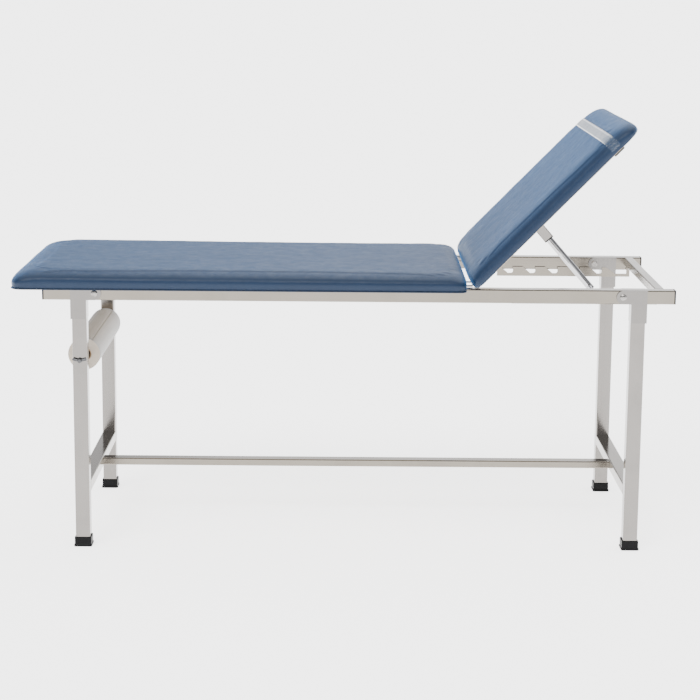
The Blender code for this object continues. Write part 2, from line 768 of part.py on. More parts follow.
def strut_bracket(steel):
    """The channel under the backrest board, with the pin across it that the strut swings on."""
    start, end = PIN_IN_BACK.x - BRACKET_HALF_LENGTH, PIN_IN_BACK.x + BRACKET_HALF_LENGTH
    bm = bmesh.new()
    prism(bm, bracket_outline(), "X", start, end)
    bracket = add("strut_bracket", bm, steel, BACK_FRAME)
    bore = bmesh.new()
    reach = SLEEVE_SIZE
    prism(bore, circle(STRUT_PIN_RADIUS + BORE_GAP), "Y", -reach, reach, PIN_IN_BACK.xz)
    cut(bracket, bore, BACK_FRAME)
    bm = bmesh.new()
    reach = SLEEVE_SIZE / 2 + 0.0005 + BRACKET_PLATE + GAP
    profile = (
        (-reach - 0.003, 0.0050), (-reach - 0.002, 0.0062), (-reach, 0.0065),
        (-reach, STRUT_PIN_RADIUS), (reach + 0.004, STRUT_PIN_RADIUS), (reach + 0.005, 0.0030),
    )
    turned(bm, profile, "Y", PIN_IN_BACK.xz)
    add("strut_pin", bm, steel, BACK_FRAME)


def strut(steel, plastic):
    """Sleeve, bush, tube and foot rod, drawn from the pin with X towards the rod."""
    mouth = SLEEVE_LENGTH
    bm = bmesh.new()
    outer = rounded_rectangle(SLEEVE_SIZE, SLEEVE_SIZE, 0.0025)
    inner = rounded_rectangle(SLEEVE_SIZE - 2 * WALL, SLEEVE_SIZE - 2 * WALL, 0.0010)
    tube(bm, outer, inner, "X", -SLEEVE_PAST_PIN, mouth)
    sleeve = add("strut_sleeve", bm, steel, STRUT_FRAME)
    bore = bmesh.new()
    prism(bore, circle(STRUT_PIN_RADIUS + BORE_GAP), "Y", -SLEEVE_SIZE, SLEEVE_SIZE)
    cut(sleeve, bore, STRUT_FRAME)

    bm = bmesh.new()
    flange = rounded_rectangle(SLEEVE_SIZE, SLEEVE_SIZE, 0.0025, 5)
    block_size = SLEEVE_SIZE - 2 * WALL - 2 * GAP
    block = rounded_rectangle(block_size, block_size, 0.0010, 5)
    hole = circle(STRUT_TUBE_RADIUS + GAP)
    stations = (
        (mouth + GAP, flange), (mouth + 0.0035, flange), (mouth + 0.0035, hole),
        (mouth - 0.020, hole), (mouth - 0.020, block), (mouth + GAP, block),
    )
    loft(bm, [place(outline, "X", at) for at, outline in stations], ring=True)
    add("strut_bush", bm, plastic, STRUT_FRAME)

    bm = bmesh.new()
    outer, inner = circle(STRUT_TUBE_RADIUS), circle(STRUT_TUBE_RADIUS - WALL)
    tube(bm, outer, inner, "X", 0.012, STRUT_LENGTH + 0.0095)
    strut_tube = add("strut_tube", bm, steel, STRUT_FRAME)
    bore = bmesh.new()
    prism(bore, circle(ROD_RADIUS + GAP), "Y", -0.02, 0.02, (STRUT_LENGTH, 0))
    cut(strut_tube, bore, STRUT_FRAME)

    bm = bmesh.new()
    start = -rack_inner_y("near") + ROD_END_CLEARANCE
    end = rack_inner_y("far") - ROD_END_CLEARANCE
    profile = (
        (start, ROD_RADIUS - 0.001), (start + 0.001, ROD_RADIUS),
        (end - 0.001, ROD_RADIUS), (end, ROD_RADIUS - 0.001),
    )
    turned(bm, profile, "Y", (STRUT_LENGTH, 0))
    add("strut_foot_rod", bm, steel, STRUT_FRAME)


# ---------------------------------------------------------------- the whole couch

def make_materials():
    return {
        "steel": make_material("stainless_steel", (0.72, 0.70, 0.67), 0.22, 1.0),
        "vinyl": make_material("blue_vinyl", (0.13, 0.21, 0.31), 0.45),
        "clear_vinyl": make_material("clear_vinyl", (0.78, 0.82, 0.88), 0.20),
        "plywood": make_material("plywood", (0.62, 0.50, 0.36), 0.65),
        "black_plastic": make_material("black_plastic", (0.012, 0.014, 0.017), 0.50),
        "paper": make_material("white_paper", (0.88, 0.88, 0.87), 0.85),
        "card": make_material("brown_card", (0.42, 0.27, 0.15), 0.85),
    }


def clear_scene():
    for obj in list(bpy.data.objects):
        bpy.data.objects.remove(obj)


def build():
    clear_scene()
    materials = make_materials()
    steel, plastic = materials["steel"], materials["black_plastic"]
    side_rails(steel)
    rail_end_plugs(plastic)
    cross_tubes(steel)
    racks(steel)
    leg_saddles(steel)
    leg_bolts(steel)
    legs(steel)
    foot_caps(plastic)
    cross_bars(steel)
    stretcher(steel)
    stretcher_bolts(steel)
    roll_holder(steel)
    wing_bolts(steel)
    paper_roll(materials["paper"], materials["card"])
    seat(materials)
    backrest(materials)
    strap(materials)
    hinges(steel)
    strut_bracket(steel)
    strut(steel, plastic)


build()
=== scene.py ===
"""Looks of the examination couch: upholstery, finishes, small fittings, floor, light and camera."""

import math

import bmesh
import bpy
import numpy as np
from mathutils import Matrix, Vector, noise
from mathutils.bvhtree import BVHTree


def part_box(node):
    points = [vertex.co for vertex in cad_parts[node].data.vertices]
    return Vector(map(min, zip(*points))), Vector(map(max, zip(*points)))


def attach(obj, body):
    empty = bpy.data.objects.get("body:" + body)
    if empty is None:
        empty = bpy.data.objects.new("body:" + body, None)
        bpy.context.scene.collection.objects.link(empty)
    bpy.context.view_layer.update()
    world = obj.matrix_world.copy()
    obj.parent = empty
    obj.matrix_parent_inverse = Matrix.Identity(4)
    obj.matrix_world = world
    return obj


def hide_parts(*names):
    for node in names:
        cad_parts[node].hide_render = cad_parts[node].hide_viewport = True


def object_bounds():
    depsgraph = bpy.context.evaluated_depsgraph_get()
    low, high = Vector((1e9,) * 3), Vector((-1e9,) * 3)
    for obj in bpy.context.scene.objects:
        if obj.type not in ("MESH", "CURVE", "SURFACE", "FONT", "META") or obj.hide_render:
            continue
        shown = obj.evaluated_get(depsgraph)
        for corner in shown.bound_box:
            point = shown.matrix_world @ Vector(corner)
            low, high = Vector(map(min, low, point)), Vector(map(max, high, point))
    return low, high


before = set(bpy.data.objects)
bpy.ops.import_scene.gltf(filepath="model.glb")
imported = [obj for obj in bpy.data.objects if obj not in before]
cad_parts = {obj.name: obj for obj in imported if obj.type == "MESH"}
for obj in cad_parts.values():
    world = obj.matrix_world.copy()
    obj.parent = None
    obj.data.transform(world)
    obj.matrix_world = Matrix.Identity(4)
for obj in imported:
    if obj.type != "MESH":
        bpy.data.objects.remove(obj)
cad_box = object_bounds()

# ---------------------------------------------------------------- driving dimensions, in metres

# Camera
CAMERA_AT = Vector((-0.0023, -5.6074, 1.5733))
CAMERA_PITCH = math.radians(10.8606)
CAMERA_YAW = math.radians(0.219)
CAMERA_ROLL = math.radians(0.4886)
CAMERA_LENS = 101.01  # mm, like the sensor
CAMERA_SENSOR = 36
CAMERA_REACH = 1000

# Frame of the couch
RAIL_TOP = 0.7325
HINGE = Vector((0.35615, 0, 0.7483))
BACK_TILT = math.radians(45.6)
HINGE_ABOVE_BOARD = 0.014
BACK_FRAME = Matrix.Translation(HINGE) @ Matrix.Rotation(-BACK_TILT, 4, "Y")
BOARD_FRAME = BACK_FRAME @ Matrix.Translation((0, 0, -HINGE_ABOVE_BOARD))
SEAT_FRAME = Matrix.Translation((0, 0, RAIL_TOP + 0.0003))

# Upholstery: where each pad starts and ends along its board, and its height above it
PAD_HALF_WIDTH = 0.3657
SEAT_START, SEAT_END, SEAT_HEIGHT = -0.9085, 0.3365, 0.0412
SEAT_TAPER = 0.0045
BACK_START, BACK_END, BACK_HEIGHT = -0.0095, 0.6055, 0.0425

# Upholstery: plan corners, and the fall over the sides and ends
OUTER_CORNER = 0.038
HINGE_CORNER = 0.024
CORNER_STEPS = 8
ROUND_OVER_WIDTH = 0.085
ROUND_OVER_DROP = 0.0180
ROUND_OVER_STEPS = 7
LEAST_SIDE = 0.004  # kept below the round-over
OUTER_END_REACH = 0.085
OUTER_END_DROP = 0.0250
HINGE_END_REACH = 0.045
HINGE_END_DROP = 0.0165
END_STEPS = 16

# Upholstery: the rim that turns under the board, and its lip
RIM = 0.0260
UNDERSIDE_Z = 0.006  # inside the rim
SEAT_LIP = 0.0078
BACK_LIP = 0.0016
LIP_SLOPE = (0.003, 0.008)  # out from the rim's inner edge, at LIP_SHARE and at all of the depth
LIP_SHARE = 0.8
LIP_ROUNDING = 0.0015
LIP_CORNER = 0.006

# Upholstery: swelling, smoothing and creases
SKIN = 0.0032  # how much smaller the pad is before it swells
VOXEL = 0.006
PINNED_BELOW = 0.0075
PRESSURE = 4.0
CLOTH_FRAMES = 20
LEAST_SWELL = 0.0028
MOST_SWELL = 0.0046
SMOOTH_FACTOR = 0.5
SMOOTHS_BEFORE, SMOOTHS_AFTER = 2, 3
CREASES_ABOVE = 0.004
DIPS = ((0.0007, 7.0), (0.0004, 23.0))  # depth, and noise cells per metre
FOLD_DEPTH = 0.0005
FOLD_CELLS = (34, 12)  # per metre along and up
FOLDS_FROM_Y, FOLDS_OVER = 0.24, 0.12

# Upholstery: room for the hinge leaves in the backrest pad, and the seat's lower edge
HINGE_Y = 0.235
NOTCH_HALF = 0.049
NOTCH_X = (-0.03, 0.0117)
NOTCH_Z = (-0.02, 0.0205)
PIPING_RADIUS = 0.0020
PIPING_SIDES = 8
EDGE_ROLL_Z = -0.0056
EDGE_ROLL_INSET = 0.0045

# Paper strap
STRAP_AT = 0.5235
STRAP_WIDTH = 0.030
STRAP_THICKNESS = 0.0006
STRAP_LIFT = 0.0004
STRAP_ROWS = 5

# The rays that find the pad under the strap: down across the top, then round each side
RAY_Z = 0.06
RAYS_ACROSS, RAYS_ROUND = 28, 12
RAY_TURN_INSET, RAY_TURN_Z = 0.05, 0.012
RAY_TURN_WIDTH, RAY_TURN_HEIGHT = 0.09, 0.05

# Paper roll
PAPER_STEP = 0.0004  # at the sheet's free edge
PAPER_EDGE_AT = math.radians(60)
PAPER_RIPPLE = 0.00025  # between layers, at the ends
CORE_GAP = 0.0004
EDGE_INSET = 0.0008
END_INSET = 0.0006
SURFACE_INSET = 0.0004
SURFACE_WAVE = 0.0003
SURFACE_CELLS = 22  # per metre
LOOSE_DEPTH = 0.002  # how deep the spiral's step reaches
ROLL_SIDES, ROLL_RINGS, ROLL_BANDS = 96, 14, 20

# Foot rod
ROD_RADIUS = 0.006
ROD_CLEARANCE = 0.0004
ROD_NEAR_Y = -0.2520
ROD_FAR_Y = 0.2946
NEAR_CAP_LENGTH = 0.0040
FAR_CAP_LENGTH = 0.0110
ROD_BEVEL = 0.0010
ROD_BEVEL_SHARE = 0.3
ROD_SIDES = 32

# Studio: the grey of the sky from the horizon (0.5) to straight up (1), and two broad lights
FLOOR_REACH = 300.0
FLOOR_SIDES = 96
SKY_ENDS = ((0.50, 0.95), (0.84, 1.0))
SKY_BAND = ((0.61, 0.80), (0.66, 0.22), (0.78, 0.22))
SKY_BAND_BLUE = 1.03
SKY_STRENGTH = 1.6
# Name, pitch and azimuth in degrees, strength, and angular size in degrees
LIGHTS = (("key", 38, -25, 2.6, 40), ("fill", 62, 150, 1.0, 70))

COLLECTION = bpy.context.scene.collection


# ---------------------------------------------------------------- material helpers


class Shader:
    """A material with a Principled shader, and short ways to add the nodes that feed it."""

    def __init__(self, name, colour, roughness, **constants):
        self.material = bpy.data.materials.new(name)
        self.material.use_nodes = True
        self.tree = self.material.node_tree
        self.bsdf = self.tree.nodes["Principled BSDF"]
        self.bsdf.inputs["Base Color"].default_value = (*colour, 1)
        self.bsdf.inputs["Roughness"].default_value = roughness
        for key, value in constants.items():
            self.bsdf.inputs[key.replace("_", " ")].default_value = value
        self.coords = self.node("ShaderNodeTexCoord").outputs["Object"]

    def node(self, kind, links=None, **values):
        made = self.tree.nodes.new(kind)
        for key, value in values.items():
            if hasattr(made, key):
                setattr(made, key, value)
            else:
                made.inputs[key.replace("_", " ")].default_value = value
        for key, source in (links or {}).items():
            self.tree.links.new(source, made.inputs[key])
        return made

    def scaled(self, scale):
        """Object coordinates, stretched."""
        made = self.node("ShaderNodeMapping", {"Vector": self.coords}, Scale=scale)
        return made.outputs["Vector"]

    def noise(self, scale, detail, roughness=0.5, stretch=None, distortion=0.0):
        vector = self.scaled(stretch) if stretch else self.coords
        made = self.node(
            "ShaderNodeTexNoise", {"Vector": vector}, Scale=scale, Detail=detail,
            Roughness=roughness, Distortion=distortion,
        )
        return made.outputs["Fac"]

    def cells(self, scale):
        made = self.node("ShaderNodeTexVoronoi", {"Vector": self.coords}, Scale=scale)
        return made.outputs["Distance"]

    def remap(self, value, old, new):
        """The value moved from the old range to the new one."""
        made = self.node("ShaderNodeMapRange", {"Value": value})
        for name, (low, high) in (("From", old), ("To", new)):
            made.inputs[f"{name} Min"].default_value = low
            made.inputs[f"{name} Max"].default_value = high
        return made.outputs["Result"]

    def ramp(self, value, *stops):
        """A colour for the value, from stops of a place and a colour."""
        made = self.node("ShaderNodeValToRGB", {"Fac": value})
        elements = made.color_ramp.elements
        while len(elements) < len(stops):
            elements.new(0.5)
        for element, (at, colour) in zip(elements, stops):
            element.position = at
            element.color = (*colour, 1)
        return made.outputs["Color"]

    def sum(self, first, second, share):
        """The first value and a share of the second."""
        made = self.node("ShaderNodeMath", {0: second}, operation="MULTIPLY")
        made.inputs[1].default_value = share
        return self.node(
            "ShaderNodeMath", {0: first, 1: made.outputs[0]}, operation="ADD"
        ).outputs[0]

    def colour(self, source):
        self.tree.links.new(source, self.bsdf.inputs["Base Color"])

    def rough(self, source):
        self.tree.links.new(source, self.bsdf.inputs["Roughness"])

    def bump(self, height, distance, strength):
        made = self.node(
            "ShaderNodeBump", {"Height": height}, Distance=distance, Strength=strength
        )
        self.tree.links.new(made.outputs["Normal"], self.bsdf.inputs["Normal"])


def tinted(colour, factor):
    return tuple(min(1.0, channel * factor) for channel in colour)


# ---------------------------------------------------------------- materials


def stainless(name, axis, base=(0.205, 0.185, 0.158)):
    """Polished stainless tube: fine drawing lines along its length and faint handling smears."""
    made = Shader(name, base, 0.2, Metallic=1.0)
    stretch = [260.0, 260.0, 260.0]
    stretch["XYZ".index(axis)] = 2.2
    lines = made.noise(1.0, detail=4.0, roughness=0.6, stretch=stretch)
    smears = made.noise(9.0, detail=4.0, roughness=0.6, distortion=0.4)
    made.colour(
        made.ramp(smears, (0.25, tinted(base, 0.90)), (0.55, base), (0.85, tinted(base, 1.07)))
    )
    made.rough(made.remap(made.sum(smears, lines, 0.6), (0.4, 1.2), (0.09, 0.24)))
    made.bump(lines, distance=0.00003, strength=0.35)
    return made.material


def vinyl(name, base):
    """Upholstery vinyl: fine pebble grain, soft creasing and a little mottling in the gloss."""
    made = Shader(
        name, base, 0.42, Specular_IOR_Level=0.25, Sheen_Weight=0.45, Sheen_Roughness=0.35,
        Sheen_Tint=(0.18, 0.46, 1.0, 1),
    )
    pebbles = made.cells(950.0)
    creases = made.noise(38.0, detail=5.0, roughness=0.62, distortion=0.8)
    mottle = made.noise(5.0, detail=3.0, roughness=0.5)
    made.colour(
        made.ramp(mottle, (0.3, tinted(base, 0.93)), (0.5, base), (0.75, tinted(base, 1.07)))
    )
    made.rough(made.remap(creases, (0.3, 0.7), (0.37, 0.50)))
    made.bump(made.sum(pebbles, creases, 0.45), distance=0.00018, strength=0.5)
    return made.material


def moulded_plastic():
    """Black moulded plastic with a faint spark-eroded texture."""
    base = (0.0030, 0.0030, 0.0034)
    made = Shader("black_plastic", base, 0.42, Specular_IOR_Level=0.10)
    grain = made.noise(1400.0, detail=2.0)
    patches = made.noise(60.0, detail=3.0)
    made.colour(made.ramp(patches, (0.3, tinted(base, 0.75)), (0.7, tinted(base, 1.5))))
    made.rough(made.remap(patches, (0.3, 0.7), (0.34, 0.52)))
    made.bump(grain, distance=0.00008, strength=0.5)
    return made.material


def chrome():
    made = Shader("chrome", (0.50, 0.50, 0.51), 0.07, Metallic=1.0)
    wiped = made.noise(30.0, detail=4.0, roughness=0.6, stretch=(1.0, 1.0, 3.0))
    made.rough(made.remap(wiped, (0.3, 0.7), (0.05, 0.14)))
    made.bump(wiped, distance=0.00004, strength=0.2)
    return made.material


def zinc():
    made = Shader("dark_zinc", (0.20, 0.20, 0.205), 0.34, Metallic=1.0)
    spangle = made.cells(260.0)
    patches = made.noise(120.0, detail=3.0)
    made.colour(made.ramp(patches, (0.3, (0.05, 0.05, 0.052)), (0.7, (0.13, 0.13, 0.135))))
    made.rough(made.remap(patches, (0.3, 0.7), (0.26, 0.46)))
    made.bump(spangle, distance=0.00005, strength=0.4)
    return made.material


def bright_fixing():
    made = Shader("fixing_steel", (0.30, 0.285, 0.27), 0.24, Metallic=1.0)
    patches = made.noise(160.0, detail=4.0)
    made.colour(made.ramp(patches, (0.3, (0.23, 0.22, 0.21)), (0.7, (0.34, 0.325, 0.31))))
    made.rough(made.remap(patches, (0.3, 0.7), (0.17, 0.34)))
    made.bump(patches, distance=0.00004, strength=0.4)
    return made.material


def clear_film():
    """The clear vinyl paper strap: its pale film is made nearly opaque across the face as a painted
    sheen, and is clear down the sides.
    """
    made = Shader("clear_film", (0.27, 0.33, 0.42), 0.16, Coat_Weight=0.5, Coat_Roughness=0.08)
    split = made.node("ShaderNodeSeparateXYZ", {"Vector": made.coords})
    across = made.node("ShaderNodeMath", {0: split.outputs["Y"]}, operation="ABSOLUTE")
    # Painted sheen: the film is opaque where |Y| is small, across the face, and fades to clear over
    # the sides.
    painted_face_sheen = made.remap(across.outputs[0], (0.318, 0.342), (0.88, 0.06))
    made.tree.links.new(painted_face_sheen, made.bsdf.inputs["Alpha"])
    ripple = made.noise(22.0, detail=4.0, roughness=0.6)
    made.rough(made.remap(ripple, (0.3, 0.7), (0.10, 0.26)))
    made.bump(ripple, distance=0.0006, strength=0.3)
    return made.material


def plywood():
    """Board underside: pale beech ply, grain running along the couch."""
    base = (0.40, 0.34, 0.27)
    made = Shader("plywood", base, 0.6)
    grain = made.noise(1.0, detail=8.0, roughness=0.65, stretch=(3.0, 90.0, 90.0), distortion=0.6)
    pores = made.noise(1.0, detail=2.0, roughness=0.5, stretch=(40.0, 1500.0, 1500.0))
    made.colour(
        made.ramp(grain, (0.25, tinted(base, 0.68)), (0.5, base), (0.75, tinted(base, 1.22)))
    )
    made.rough(made.remap(grain, (0.3, 0.7), (0.52, 0.70)))
    made.bump(made.sum(grain, pores, 0.5), distance=0.0003, strength=0.5)
    return made.material


def paper(name, base):
    """Soft embossed tissue."""
    made = Shader(name, base, 0.85, Specular_IOR_Level=0.2)
    emboss = made.cells(420.0)
    bands = made.noise(1.0, detail=4.0, roughness=0.6, stretch=(90.0, 5.0, 90.0))
    made.colour(made.ramp(bands, (0.25, tinted(base, 0.93)), (0.7, tinted(base, 1.04))))
    made.bump(made.sum(emboss, bands, 0.7), distance=0.0005, strength=0.6)
    return made.material


def card():
    base = (0.33, 0.22, 0.13)
    made = Shader("brown_card", base, 0.8)
    fibres = made.noise(1.0, detail=5.0, roughness=0.7, stretch=(260.0, 60.0, 260.0))
    made.colour(made.ramp(fibres, (0.3, tinted(base, 0.8)), (0.7, tinted(base, 1.2))))
    made.bump(fibres, distance=0.0003, strength=0.5)
    return made.material


def floor_finish():
    """White, and lit from within so that it stays near the photo's blank ground."""
    made = Shader(
        "studio_floor", (0.90, 0.90, 0.90), 0.9, Emission_Color=(1, 1, 1, 1),
        Emission_Strength=2.6, Specular_IOR_Level=0.05,
    )
    return made.material


BLUE = (0.0027, 0.0134, 0.0375)
MATERIALS = {
    "steel_x": stainless("stainless_along_x", "X"),
    "steel_y": stainless("stainless_along_y", "Y"),
    "steel_z": stainless("stainless_along_z", "Z", (0.208, 0.195, 0.183)),
    # Painted shade: the saddles get a darker, greyer copy of the legs' stainless, so their outlines
    # read against the legs.
    "saddle": stainless("stainless_saddle_painted_shade", "Z", (0.180, 0.171, 0.163)),
    "vinyl": vinyl("blue_vinyl", BLUE),
    # Painted shade: the seat's rolled lower edge takes its own vinyl at 0.55 of the colour, for the
    # shade where it turns under.
    "piping": vinyl("blue_vinyl_painted_shade", tinted(BLUE, 0.55)),
    "plastic": moulded_plastic(),
    "chrome": chrome(),
    "zinc": zinc(),
    "fixing": bright_fixing(),
    "film": clear_film(),
    "plywood": plywood(),
    "paper": paper("tissue_paper", (0.42, 0.42, 0.42)),
    "paper_end": paper("tissue_layers", (0.52, 0.46, 0.385)),
    "card": card(),
}

# The start of a CAD node's name, its material and the record's slot.
FINISHES = (
    ("side_rail", "steel_x", "stainless_steel"),
    ("stretcher_bolt", "fixing", "stainless_steel"),
    ("stretcher", "steel_x", "stainless_steel"),
    ("ratchet_rack", "steel_x", "stainless_steel"),
    ("cross_tube", "steel_y", "stainless_steel"),
    ("cross_bar", "steel_y", "stainless_steel"),
    ("roll_holder_tube", "steel_y", "stainless_steel"),
    ("leg_saddle", "saddle", "stainless_steel"),
    ("leg_bolt", "fixing", "stainless_steel"),
    ("leg_nut", "fixing", "stainless_steel"),
    ("leg_", "steel_z", "stainless_steel"),
    ("hinge_", "fixing", "stainless_steel"),
    ("strut_bracket", "steel_x", "stainless_steel"),
    ("strut_pin", "fixing", "stainless_steel"),
    ("strut_sleeve", "steel_z", "stainless_steel"),
    ("strut_tube", "chrome", "chrome_tube"),
    ("strut_foot_rod", "chrome", "chrome_tube"),
    ("strut_bush", "plastic", "black_plastic"),
    ("rail_plug", "plastic", "black_plastic"),
    ("foot_cap", "plastic", "black_plastic"),
    ("strap_buckle", "plastic", "black_plastic"),
    ("wing_bolt", "zinc", "dark_zinc"),
    ("paper_strap", "film", "clear_vinyl"),
    ("seat_board", "plywood", "plywood"),
    ("back_board", "plywood", "plywood"),
    ("roll_core", "card", "brown_card"),
    ("paper_roll", "paper", "white_paper"),
    ("seat_cushion", "vinyl", "blue_vinyl"),
    ("back_cushion", "vinyl", "blue_vinyl"),
)


def finish_cad_nodes():
    """Gives each CAD node its material."""
    for name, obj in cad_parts.items():
        key, slot = next((k, s) for start, k, s in FINISHES if name.startswith(start))
        obj.data.materials.clear()
        obj.data.materials.append(MATERIALS[key])
        for polygon in obj.data.polygons:
            polygon.material_index = 0


# ---------------------------------------------------------------- mesh helpers


def new_object(name, bm, material, matrix=None):
    """A smooth-shaded object from the bmesh, which is used up."""
    mesh = bpy.data.meshes.new(name)
    if matrix is not None:
        bm.transform(matrix)
    bmesh.ops.recalc_face_normals(bm, faces=bm.faces)
    bm.to_mesh(mesh)
    bm.free()
    mesh.materials.append(material)
    for polygon in mesh.polygons:
        polygon.use_smooth = True
    obj = bpy.data.objects.new(name, mesh)
    COLLECTION.objects.link(obj)
    return obj


def loft(bm, loops, closed=False):
    """Joins each loop to the next, then closes the ends, or joins the last loop to the first."""
    rings = [[bm.verts.new(point) for point in loop] for loop in loops]
    pairs = list(zip(rings, rings[1:]))
    if closed:
        pairs.append((rings[-1], rings[0]))
    for first, second in pairs:
        for i in range(len(first)):
            j = (i + 1) % len(first)
            bm.faces.new((first[i], first[j], second[j], second[i]))
    if not closed:
        bm.faces.new(rings[0])
        bm.faces.new(rings[-1])


def swept(bm, path, radius, sides):
    """A round tube along a closed, level path."""
    loops = []
    for i, point in enumerate(path):
        along = (Vector(path[(i + 1) % len(path)]) - Vector(path[i - 1])).normalized()
        out = along.cross(Vector((0, 0, 1))).normalized()
        loops.append([
            Vector(point)
            + radius * (math.cos(turn) * out + math.sin(turn) * Vector((0, 0, 1)))
            for turn in (2 * math.pi * k / sides for k in range(sides))
        ])
    loft(bm, loops, closed=True)


# ---------------------------------------------------------------- upholstery


def pad_section(half, lip, top, middle):
    """One cross-section, from the underside's middle outwards and over the top."""
    inner = max(half - RIM, 0.5 * half)
    drop = min(ROUND_OVER_DROP, top - LEAST_SIDE)
    width = ROUND_OVER_WIDTH
    right = [
        (inner, middle), (inner + LIP_SLOPE[0], -LIP_SHARE * lip), (inner + LIP_SLOPE[1], -lip),
        (half - LIP_CORNER, -lip), (half - LIP_ROUNDING, -lip + LIP_ROUNDING),
        (half, -lip + LIP_CORNER),
    ]
    for i in range(ROUND_OVER_STEPS + 1):
        turn = math.radians(90) * i / ROUND_OVER_STEPS
        right.append((half - width + width * math.cos(turn), top - drop + drop * math.sin(turn)))
    return right + [(-y, z) for y, z in reversed(right)]


def fallen(along, reach, drop):
    """How far a rounded end has fallen, at a distance from the end."""
    missing = max(0.0, 1 - along / reach)
    return drop * (1 - math.sqrt(1 - missing**2))


def drawn_in(along, corner):
    """How far the sides are drawn in round a plan corner, at a distance from the end."""
    missing = max(0.0, corner - along)
    return corner - math.sqrt(corner**2 - missing**2)


def pad_shell(start, end, height, lip, start_is_hinge, taper=0.0):
    """The pad before it swells, rounded at its plan corners and over its ends.

    The lip turns under both sides and the outer end. The hinge end has none.
    """
    half_width = PAD_HALF_WIDTH - SKIN
    start, end = start + SKIN, end - SKIN
    height -= SKIN
    loops = []
    for from_start in (True, False):
        at_hinge = from_start == start_is_hinge
        corner = HINGE_CORNER if at_hinge else OUTER_CORNER
        reach = HINGE_END_REACH if at_hinge else OUTER_END_REACH
        drop = HINGE_END_DROP if at_hinge else OUTER_END_DROP
        quarter = [math.radians(90) * i / END_STEPS for i in range(END_STEPS + 1)]
        steps = [reach * (1 - math.cos(turn)) for turn in quarter]
        for along in steps if from_start else reversed(steps):
            x = start + along if from_start else end - along
            half = half_width - drawn_in(along, corner)
            top = height - fallen(along, reach, drop) - taper * (x - start) / (end - start)
            middle = -lip if not at_hinge and along < RIM else UNDERSIDE_Z
            loops.append([(x, y, z) for y, z in pad_section(half, lip, top, middle)])
    bm = bmesh.new()
    loft(bm, loops)
    return bm


def evaluated_copy(obj):
    """The object's mesh with its modifiers applied."""
    graph = bpy.context.evaluated_depsgraph_get()
    return bpy.data.meshes.new_from_object(obj.evaluated_get(graph))


def bake_modifiers(obj):
    mesh = evaluated_copy(obj)
    obj.modifiers.clear()
    obj.data = mesh


def points_of(mesh):
    points = np.empty(len(mesh.vertices) * 3, np.float32)
    mesh.vertices.foreach_get("co", points)
    return points.reshape(-1, 3).astype(float)


def normals_of(mesh):
    normals = np.empty(len(mesh.vertices) * 3, np.float32)
    mesh.vertices.foreach_get("normal", normals)
    return normals.reshape(-1, 3).astype(float)


def place_points(mesh, points):
    mesh.vertices.foreach_set("co", points.astype(np.float32).ravel())
    mesh.update()


def swell(obj):
    """Inflates the pad as cloth, held along its underside.

    Each free point ends between LEAST_SWELL and MOST_SWELL outward of where it started.
    """
    rest = points_of(obj.data)
    group = obj.vertex_groups.new(name="held")
    group.add([int(i) for i in np.nonzero(rest[:, 2] < PINNED_BELOW)[0]], 1.0, "ADD")
    cloth = obj.modifiers.new("cloth", "CLOTH")
    cloth.settings.quality = 4
    cloth.settings.mass = 0.25
    cloth.settings.tension_stiffness = 14
    cloth.settings.compression_stiffness = 14
    cloth.settings.shear_stiffness = 6
    cloth.settings.bending_stiffness = 1.2
    cloth.settings.use_pressure = True
    cloth.settings.uniform_pressure_force = PRESSURE
    cloth.settings.vertex_group_mass = "held"
    cloth.settings.effector_weights.gravity = 0
    cloth.collision_settings.use_collision = False
    cloth.point_cache.frame_start = 1
    cloth.point_cache.frame_end = CLOTH_FRAMES
    scene = bpy.context.scene
    for number in range(1, CLOTH_FRAMES + 1):
        scene.frame_set(number)
    mesh = evaluated_copy(obj)
    moved = points_of(mesh) - rest
    obj.modifiers.clear()
    scene.frame_set(1)
    normals = normals_of(obj.data)
    outward = SKIN + (moved * normals).sum(axis=1)
    swelling = np.clip(outward, LEAST_SWELL, MOST_SWELL) * (rest[:, 2] > PINNED_BELOW)
    place_points(obj.data, rest + normals * swelling[:, None])
    bpy.data.meshes.remove(mesh)


def soften(obj, matrix):
    """Adds low dips, and folds near the sides, and moves the pad to its place."""
    mesh = obj.data
    points = points_of(mesh)
    lift = np.zeros(len(points))
    for i, (x, y, z) in enumerate(points):
        if z < CREASES_ABOVE:
            continue
        near_side = max(0.0, abs(y) - FOLDS_FROM_Y) / FOLDS_OVER
        dip = sum(depth * noise.noise(Vector((x, y, z)) * cells) for depth, cells in DIPS)
        along, up = FOLD_CELLS
        fold = FOLD_DEPTH * near_side * noise.noise(Vector((x * along, 0, z * up)))
        lift[i] = dip + fold
    place_points(mesh, points + normals_of(mesh) * lift[:, None])
    mesh.transform(matrix)
    mesh.update()


def cut_box(obj, low, high):
    bm = bmesh.new()
    bmesh.ops.create_cube(bm, size=1.0)
    size = Vector(high) - Vector(low)
    middle = (Vector(high) + Vector(low)) / 2
    bm.transform(Matrix.Translation(middle) @ Matrix.Diagonal((*size, 1)))
    cutter = new_object("cutter", bm, MATERIALS["vinyl"])
    modifier = obj.modifiers.new("notch", "BOOLEAN")
    modifier.object = cutter
    modifier.operation = "DIFFERENCE"
    bake_modifiers(obj)
    bpy.data.objects.remove(cutter)


def remesh_evenly(obj):
    remesh = obj.modifiers.new("voxels", "REMESH")
    remesh.mode = "VOXEL"
    remesh.voxel_size = VOXEL
    remesh.use_smooth_shade = True
    bake_modifiers(obj)


def smooth_out(obj, iterations):
    smooth = obj.modifiers.new("smooth", "SMOOTH")
    smooth.factor = SMOOTH_FACTOR
    smooth.iterations = iterations
    bake_modifiers(obj)


